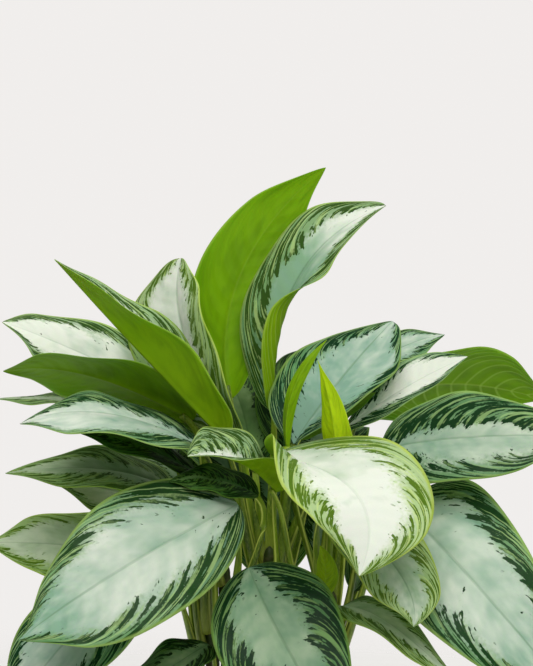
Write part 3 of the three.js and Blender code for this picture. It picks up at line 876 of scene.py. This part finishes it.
def blade_point(leaf, midrib, along, across, under):
    """A point of the blade's upper face, or of its underside. Each half is an arc from the midrib."""
    spot, way = bezier(midrib, along)
    up = square_to(Vector(leaf["face"]), way)
    side = way.cross(up) * math.copysign(1, across)
    shape = EVEN_HALF | leaf.get("left" if across < 0 else "right", {})
    half = half_width(leaf, shape, along)
    reach = abs(across)
    steepness = (leaf["fold"] + shape["lift"]) * mixed(FOLD_AT_BASE, FOLD_AT_TIP, along)
    fold = math.radians(min(FOLD_LIMIT, steepness))
    curled = 1 - smooth_step(along, shape["until"] - CURL_FADE, shape["until"])
    turn = math.radians(shape["curl"] * curled - MARGIN_DROOP) * reach
    chord = reach * half * (math.sin(turn / 2) / (turn / 2) if turn else 1)
    slope = fold + turn if reach else 0

    size = min(1, half / BLADE_FULL_HALF)
    rib = hump(reach * half, 0, RIB_HALF * mixed(1, RIB_SLIMS, along)) * mixed(1, RIB_FADES, along)
    vein = math.cos(math.tau * VEIN_COUNT * vein_share(along, across))
    vein *= smooth_step(reach, *VEIN_FROM) * (1 - reach**6)
    lift = -leaf.get("vein_depth", VEIN_DEPTH) * size * vein
    skin = BLADE_THICKNESS / 2 * (1 - BLADE_EDGE_THINS * reach**6)
    lift += -skin - RIB_RIDGE * size * rib if under else skin - RIB_GROOVE * size * rib
    wave = BLADE_WAVE_HEIGHT * math.sin(math.tau * BLADE_WAVE_TURNS * along + leaf["width"])
    rise = wave * reach**2 * min(1, half / BLADE_WAVE_FULL)
    return (
        spot
        + side * (chord * math.cos(fold + turn / 2) - lift * math.sin(slope))
        + up * (chord * math.sin(fold + turn / 2) + rise + lift * math.cos(slope))
    )


def add_blade(bm, leaf, seed):
    """A grid bent into the blade, with a second face under it and a thin edge all round."""
    place = bm.verts.layers.float_vector["place"]
    midrib = midrib_of(leaf)
    grid = bmesh.ops.create_grid(bm, x_segments=BLADE_COLUMNS, y_segments=BLADE_ROWS, size=1)["verts"]
    for vert in grid:
        share = (vert.co.y + 1) / 2
        along = share - BLADE_ROWS_CLOSE * math.sin(math.tau * share)
        across = math.copysign(abs(vert.co.x) ** BLADE_COLUMNS_CLOSE, vert.co.x)
        vert[place] = (min(1, max(0, along)), across, seed)
    lower = bm.faces[:]
    copied = bmesh.ops.extrude_face_region(bm, geom=lower, use_keep_orig=True)["geom"]
    upper = {part for part in copied if isinstance(part, bmesh.types.BMVert)}
    for face in lower:
        face.material_index = 1
    for vert in bm.verts:
        along, across, _ = vert[place]
        vert.co = blade_point(leaf, midrib, along, across, vert not in upper)


def stalk_curve(leaf):
    """A stalk leaves its cane upwards, bends out, and runs into the midrib from below."""
    midrib = midrib_of(leaf)
    _, arrival = bezier(midrib, 0)
    face = square_to(Vector(leaf["face"]), arrival)
    end, _ = bezier(midrib, STALK_UNDER_BLADE)
    end = end + face * (BLADE_THICKNESS / 2 - STALK_NECK[1])
    curve = cane_curve(CANES[leaf["cane"]])
    low, high = 0, 1
    for _ in range(STALK_HALVINGS):
        node = (low + high) / 2
        low, high = (node, high) if bezier(curve, node)[0].z < leaf["from"] * MM else (low, node)
    on_cane, _ = bezier(curve, low)
    out = Vector((end.x - on_cane.x, end.y - on_cane.y, 0)).normalized()
    start = on_cane + out * (cane_radius(low) + STALK_GAP + STALK_FOOT[1])
    length = (end - start).length
    lean = min(length * STALK_LEAN, max(0, (end - start).dot(out) * STALK_REACH))
    first = start + out * lean + Vector((0, 0, length * STALK_LIFT))
    return [start, first, end - arrival * length * STALK_ARRIVE, end], out, face


def add_stalk(bm, leaf, seed):
    """A rod with a channel along its inner face. At its foot the channel's two edges are thin wings
    that reach round the cane."""
    place = bm.verts.layers.float_vector["place"]
    curve, out, face = stalk_curve(leaf)
    known = set(bm.faces)
    rod = rod_grid(bm, STALK_SIDES, STALK_STEPS, place)
    for vert in rod:
        along, turn, _ = vert[place]
        spot, way = bezier(curve, along)
        front = square_to((-out).lerp(face, along), way)
        side = way.cross(front)
        slim = min(1, along / STALK_SHEATH)
        wide = mixed(STALK_FOOT[0], STALK_NECK[0], slim)
        thick = mixed(STALK_FOOT[1], STALK_NECK[1], slim)
        angle = math.tau * turn
        off = abs((turn + 0.25) % 1 - 0.5) * math.tau
        wing = hump(off, *STALK_WING)
        clasp = 1 - smooth_step(along, *STALK_CLASPS)
        x = math.cos(angle) * wide * (1 + STALK_WING_SPREAD * wing * clasp)
        depth = mixed(*STALK_CHANNEL_DEPTH, clasp) * hump(off, 0, STALK_CHANNEL)
        z = math.sin(angle) * thick * (1 - depth) + wing * mixed(*STALK_WING_HEIGHT, clasp)
        vert.co = spot + side * x + front * z
        edge = hump(off, *STALK_EDGE)
        vert[place] = (along, edge, seed)
    closed_rod(bm, rod)
    for piece in bm.faces:
        if piece not in known:
            piece.material_index = 2


def leaf_mesh(leaf, seed):
    """The stalk and the blade in one mesh, with the leaf's look noted on every point."""
    bm = bmesh.new()
    place = bm.verts.layers.float_vector.new("place")
    look = bm.verts.layers.float_color.new("look")
    add_blade(bm, leaf, seed)
    add_stalk(bm, leaf, seed)
    for vert in bm.verts:
        silver, *others = leaf["look"]
        along, across, _ = vert[place]
        silver = leaf.get("silver_left" if across < 0 else "silver_right", silver)
        least, opened = leaf.get("opening", SILVER_OPENS)
        silver *= mixed(least, 1, smooth_step(along, SILVER_FROM, opened))
        # Painted shade: some tips are made bluer and darker where shade falls on them; below none, the tip
        # is painted lighter.
        others[0] += leaf.get("tip_painted_shade", 0) * smooth_step(along, *TIP_SHADE_FROM)
        vert[look] = (silver, *others)
    bmesh.ops.recalc_face_normals(bm, faces=bm.faces)
    return bm


# Noise for the streaks: how fine it is across the side veins and along them, its detail and its seed.
STREAKS = {
    "broad": (5, 1.6, 1, 0),
    "outer": (14, 3, 2.5, 31),
    "further_in": (34, 4, 2.5, 47),
    "inner": (36, 8, 1.5, 67),
    "thin": (40, 2.4, 1.5, 83),
    "mottle": (7, 2.4, 2.5, 19),
}
# Each mask starts at the first number and is full at the second. Two more are its least and its most.
OUTER_FROM = (0.62, 0.84)
SILVER_CLOSES = (0.75, 1, 0.94, 0.56)
GREEN_NEEDS = (-0.2, 0.12, 0.74, 0.45)
GREEN_AT_RIM = (0.88, 0.98, 0, 0.05)
GREEN_AT_BASE = (0.1, 0.45, 0.06, 0)
GREEN_EDGE = (-0.018, 0.018)
SPOTS_FROM = (-0.26, -0.02)
SPOTS_NEED = (0.68, 0.72)
BAND_FROM = (-0.12, 0.2)
THIN_NEEDS = (0.54, 0.62)
MIDRIB_FADES = (0.01, 0.035, 1, 0)
RIM_FROM = (0.935, 0.98)
BORDER_WANDERS = 0.55
SPARSE_NEEDS = 0.06
PLEAT_NEEDS = 0.08
GREEN_RAGGED = 0.14
THIN_RAGGED = 0.12
BAND_RAGGED = 0.3
LEAF_SEED = 5.3
HALF_SEED = 2.7


def streaks_of(vein, reach, seed, across_veins, along_veins, detail, shift):
    """Noise drawn out along the side veins."""
    spot = {"X": times(vein, across_veins), "Y": times(reach, along_veins), "Z": sum_of("ADD", seed, shift)}
    where = shader_node(vein.id_data, "CombineXYZ", spot).outputs["Vector"]
    return noise_of(where, scale=1, detail=detail, roughness=0.6)


def pattern_group():
    """The silver and green pattern of a blade, from a point's place on it. The green is made of dark
    streaks between the side veins, which lie closer together towards the margin."""
    group = bpy.data.node_groups.new("leaf_pattern", "ShaderNodeTree")
    for name in ("Along", "Across", "Seed", "Silver", "Sparse", "Grain"):
        group.interface.new_socket(name, in_out="INPUT", socket_type="NodeSocketFloat")
    for name in ("Green", "Band", "Streak", "Pleat", "Midrib", "Rim", "Mottle"):
        group.interface.new_socket(name, in_out="OUTPUT", socket_type="NodeSocketFloat")
    given = group.nodes.new("NodeGroupInput").outputs
    along = given["Along"]
    reach = sum_of("ABSOLUTE", given["Across"])
    turned_in = times(sum_of("POWER", reach, 4.0), VEIN_TURN)
    slant = times(reach, VEIN_SLANT, turned_in)
    vein = sum_of("SUBTRACT", along, slant)
    half = times(sum_of("SIGN", given["Across"]), HALF_SEED)
    seed = times(given["Seed"], LEAF_SEED, half)
    ragged = sum_of("SUBTRACT", given["Grain"], 0.5)

    streaks = {name: streaks_of(vein, reach, seed, *sizes) for name, sizes in STREAKS.items()}
    towards = step_of(reach, *OUTER_FROM)
    coarser = sum_of("SUBTRACT", streaks["outer"], streaks["further_in"])
    outer = times(coarser, towards, streaks["further_in"])
    outer = times(ragged, GREEN_RAGGED, outer)
    thin = times(ragged, THIN_RAGGED, streaks["thin"])
    wave = sum_of("COSINE", times(vein, math.tau * VEIN_COUNT))
    pleat = times(wave, 0.5, 0.5)

    border = times(given["Silver"], step_of(along, *SILVER_CLOSES))
    depth = sum_of("SUBTRACT", reach, border)
    wander = sum_of("SUBTRACT", streaks["broad"], 0.5)
    depth = times(wander, BORDER_WANDERS, depth)
    needed = step_of(depth, *GREEN_NEEDS)
    needed = sum_of("ADD", needed, step_of(reach, *GREEN_AT_RIM))
    needed = sum_of("SUBTRACT", needed, step_of(along, *GREEN_AT_BASE))
    needed = times(given["Sparse"], SPARSE_NEEDS, needed)
    needed = times(sum_of("SUBTRACT", pleat, 0.5), PLEAT_NEEDS, needed)
    green = step_of(sum_of("SUBTRACT", outer, needed), *GREEN_EDGE)
    near = step_of(depth, *SPOTS_FROM)
    spots = times(step_of(streaks["inner"], *SPOTS_NEED), near)
    band = times(ragged, BAND_RAGGED, depth)

    results = {
        "Green": sum_of("MAXIMUM", green, spots),
        "Band": step_of(band, *BAND_FROM),
        "Streak": step_of(thin, *THIN_NEEDS),
        "Pleat": pleat,
        "Midrib": step_of(reach, *MIDRIB_FADES),
        "Rim": step_of(reach, *RIM_FROM),
        "Mottle": streaks["mottle"],
    }
    set_inputs(group.nodes.new("NodeGroupOutput"), results)
    return group


leaf_pattern = pattern_group()


def noted(tree):
    """What each point of a leaf notes: its place, its look, and the blade's pattern there."""
    where = noted_place(tree)
    look = shader_node(tree, "Attribute", attribute_name="look").outputs
    parts = shader_node(tree, "SeparateColor", {"Color": look["Color"]}).outputs
    grain, cells = (noise_of(place_in(tree), scale=scale, detail=3) for scale in (300, 850))
    inputs = {
        "Along": where["X"], "Across": where["Y"], "Seed": where["Z"], "Silver": parts["Red"],
        "Sparse": parts["Blue"], "Grain": grain,
    }
    pattern = shader_node(tree, "Group", inputs, node_tree=leaf_pattern)
    # The look's fourth number is painted shade: how much a leaf that stands in shade is darkened.
    return where, parts, look["Alpha"], pattern.outputs, cells


# The upper face: silver in the middle, green towards the margin.
WHITE_SILVER = (0.8, 0.85, 0.74, 1)
BLUE_SILVER = (0.24, 0.41, 0.33, 1)
GREEN_SILVER = (0.26, 0.44, 0.2, 1)
DEEP_GREEN = (0.004, 0.034, 0.012, 1)
LEAF_GREEN = (0.13, 0.24, 0.012, 1)
COOL_BAND = (0.085, 0.24, 0.075, 1)
WARM_BAND = (0.47, 0.64, 0.23, 1)
BASE_TEAL_AND_SHADE = (0.03, 0.11, 0.075, 1)
PALE_STREAK = (0.34, 0.55, 0.24, 1)
WARM_STREAK = (0.6, 0.74, 0.24, 1)
RIM_GREEN = (0.3, 0.47, 0.12, 1)
WARM_RIM = (0.56, 0.7, 0.08, 1)
MIDRIB_GREEN_AND_SHADE = (0.16, 0.29, 0.17, 1)
PAINTED_SHADE_GREEN = (0.22, 0.36, 0.09, 1)
CELL_GREEN = (0.02, 0.05, 0.02, 1)
BLUE_MOTTLE = 1.4
BLUE_FALLS = -0.65
BLUE_AT_BASE = 0.27
GROOVE_SHADE = (0.2, 0.03)
BASE_TEAL_AND_SHADE_FADES = (0.05, 0.45, 0.75, 0)
BAND_SHARE = 0.85
STREAK_SHARE = 0.65
RIB_AND_SHADE_SHARE = (0.4, 0.14)
RIM_SHARE = 0.8
CELL_SHARE = 0.08
PLEAT_RELIEF = -0.35
CELL_RELIEF = 0.35
GREEN_RELIEF = -0.25
SILVER_ROUGHNESS = 0.48
GREEN_ROUGHNESS = 0.40
BLADE_INSIDE = {"Subsurface_Scale": 0.003, "Subsurface_Radius": (0.4, 1.0, 0.25)}

upper_face, tree, shader = new_material(
    "blade_upper", Specular_IOR_Level=0.09, Subsurface_Weight=0.12, **BLADE_INSIDE
)
where, look, painted_shade, pattern, cells = noted(tree)
mottle = sum_of("SUBTRACT", pattern["Mottle"], 0.5)
blueness = sum_of("ADD", times(mottle, BLUE_MOTTLE, look["Green"]), BLUE_AT_BASE)
blueness = times(where["X"], BLUE_FALLS, blueness, clamp=True)
cool = blend_of(look["Blue"], BLUE_SILVER, GREEN_SILVER)
silver = blend_of(blueness, WHITE_SILVER, cool)
# Painted shade: the silver turns bluer and darker along the side veins, where the pleats sink.
painted_groove_shade = times(pattern["Pleat"], times(blueness, *GROOVE_SHADE))
silver = blend_of(painted_groove_shade, silver, BLUE_SILVER)
warmth = sum_of("POWER", look["Blue"], 2.0)
green = blend_of(warmth, DEEP_GREEN, LEAF_GREEN)
band = blend_of(warmth, COOL_BAND, WARM_BAND)
# Near the base the band turns a deeper, darker teal: partly the leaf's own colour, partly painted shade
# from the leaves above.
band = blend_of(step_of(where["X"], *BASE_TEAL_AND_SHADE_FADES), band, BASE_TEAL_AND_SHADE)
pale = blend_of(look["Blue"], PALE_STREAK, WARM_STREAK)
colour = blend_of(times(pattern["Band"], BAND_SHARE), silver, band)
colour = blend_of(pattern["Green"], colour, green)
lines = times(pattern["Streak"], times(pattern["Band"], STREAK_SHARE))
colour = blend_of(lines, colour, pale)
# The midrib is a thin darker grey-green line: partly its own colour, partly painted shade in its sunk
# crease.
rib = times(pattern["Midrib"], times(look["Green"], *RIB_AND_SHADE_SHARE))
colour = blend_of(rib, colour, MIDRIB_GREEN_AND_SHADE)
rim = blend_of(warmth, RIM_GREEN, WARM_RIM)
colour = blend_of(times(pattern["Rim"], RIM_SHARE), colour, rim)
# Painted shade: a leaf that stands in shade is darkened towards a deep green.
colour = blend_of(painted_shade, colour, PAINTED_SHADE_GREEN, "MULTIPLY")
colour = blend_of(times(cells, CELL_SHARE), colour, CELL_GREEN)
gloss = step_of(pattern["Green"], 0, 1, SILVER_ROUGHNESS, GREEN_ROUGHNESS)
height = times(pattern["Pleat"], PLEAT_RELIEF, times(cells, CELL_RELIEF))
height = times(pattern["Green"], GREEN_RELIEF, height)
dress(shader, colour, gloss, height, strength=0.28, distance=0.0008)

# The underside: yellow-green that lets the light through, painted brighter and more golden as a painted
# glow of light shining through it. Its veins stand out paler as the look says, and painted shade
# darkens the undersides that stand in shade.
UNDER_GOLD_AND_GLOW = (0.43, 0.6, 0.004, 1)
UNDER_BRIGHT_AND_GLOW = (0.175, 0.345, 0.001, 1)
UNDER_DEEP = (0.055, 0.135, 0.001, 1)
UNDER_VEIN = (0.36, 0.52, 0.08, 1)
UNDER_PAINTED_SHADE = (0.3, 0.36, 0.26, 1)
UNDER_GOLD_AND_GLOW_FROM = (0.3, 1)
UNDER_MOTTLE = (0.35, 0.75, 0, 0.4)
UNDER_PATTERN = 0.10
UNDER_VEIN_SHARE = 0.45
UNDER_VEIN_FROM = (0.88, 1)
UNDER_RIB_SHARE = (0.35, 0.06)
UNDER_RIM_SHARE = 0.5
UNDER_ROUGHNESS = (0.3, 0.7, 0.46, 0.56)
UNDER_CELL_RELIEF = 0.3
UNDER_VEIN_RELIEF = (0.9, 0.3)

underside, tree, shader = new_material(
    "blade_underside", Specular_IOR_Level=0.12, Subsurface_Weight=0.2, **BLADE_INSIDE
)
where, look, painted_shade, pattern, cells = noted(tree)
# Painted glow: the yellower leaves get a brighter gold, partly their own colour and partly light shining
# through.
under_and_glow = blend_of(step_of(look["Blue"], *UNDER_GOLD_AND_GLOW_FROM), UNDER_BRIGHT_AND_GLOW, UNDER_GOLD_AND_GLOW)
colour = blend_of(step_of(pattern["Mottle"], *UNDER_MOTTLE), under_and_glow, UNDER_DEEP)
colour = blend_of(times(pattern["Green"], UNDER_PATTERN), colour, UNDER_DEEP)
strength = times(look["Green"], UNDER_VEIN_SHARE)
line = times(step_of(pattern["Pleat"], *UNDER_VEIN_FROM), strength)
colour = blend_of(line, colour, UNDER_VEIN)
strength = times(look["Green"], *UNDER_RIB_SHARE)
colour = blend_of(times(pattern["Midrib"], strength), colour, UNDER_VEIN)
colour = blend_of(times(pattern["Rim"], UNDER_RIM_SHARE), colour, UNDER_VEIN)
# Painted shade: an underside that stands in shade is darkened.
colour = blend_of(painted_shade, colour, UNDER_PAINTED_SHADE, "MULTIPLY")
gloss = step_of(cells, *UNDER_ROUGHNESS)
ridges = times(pattern["Pleat"], times(look["Green"], *UNDER_VEIN_RELIEF))
height = times(cells, UNDER_CELL_RELIEF, ridges)
dress(shader, colour, gloss, height, strength=0.30, distance=0.0008)

# The stalk: ribbed pale green, paler still along the edges of its channel and at its foot.
STALK_GREEN = (0.21, 0.34, 0.005, 1)
STALK_DEEP = (0.07, 0.14, 0.004, 1)
STALK_PALE = (0.62, 0.7, 0.13, 1)
STALK_PATCHES = (0.35, 0.65)
STALK_RIBS_PALE = (0.45, 0.75, 0, 0.35)
STALK_EDGES_PALE = (0.45, 0.95, 0, 0.85)
STALK_FOOT_PALE = (0, 0.22, 0.45, 0)
STALK_ROUGHNESS = 0.42

stalk_skin, tree, shader = new_material("stalk_skin", Specular_IOR_Level=0.45)
where = noted_place(tree)
drawn = drawn_out(tree, share=0.08)
ribs = noise_of(drawn, scale=900, detail=3)
patches = noise_of(drawn, scale=90, detail=2)
colour = blend_of(step_of(patches, *STALK_PATCHES), STALK_DEEP, STALK_GREEN)
colour = blend_of(step_of(ribs, *STALK_RIBS_PALE), colour, STALK_PALE)
colour = blend_of(step_of(where["Y"], *STALK_EDGES_PALE), colour, STALK_PALE)
colour = blend_of(step_of(where["X"], *STALK_FOOT_PALE), colour, STALK_PALE)
dress(shader, colour, STALK_ROUGHNESS, ribs, strength=0.4, distance=0.0005)

all_leaves = LEAVES.copy()
for name, tier in BACK_TIERS.items():
    all_leaves.update(leaves_of(name, tier))
for seed, (name, leaf) in enumerate(all_leaves.items()):
    grown = new_piece(f"foliage_{name}", leaf_mesh(leaf, seed), [upper_face, underside, stalk_skin])
    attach(grown, "root")
    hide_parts(f"leaf_{name}")

# ---- Sizes ----
# The solid model's box and the finished model's, for comparing the two.

boxes = {"cad": cad_box, "visual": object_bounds()}
{name: [list(corner) for corner in box] for name, box in boxes.items()}
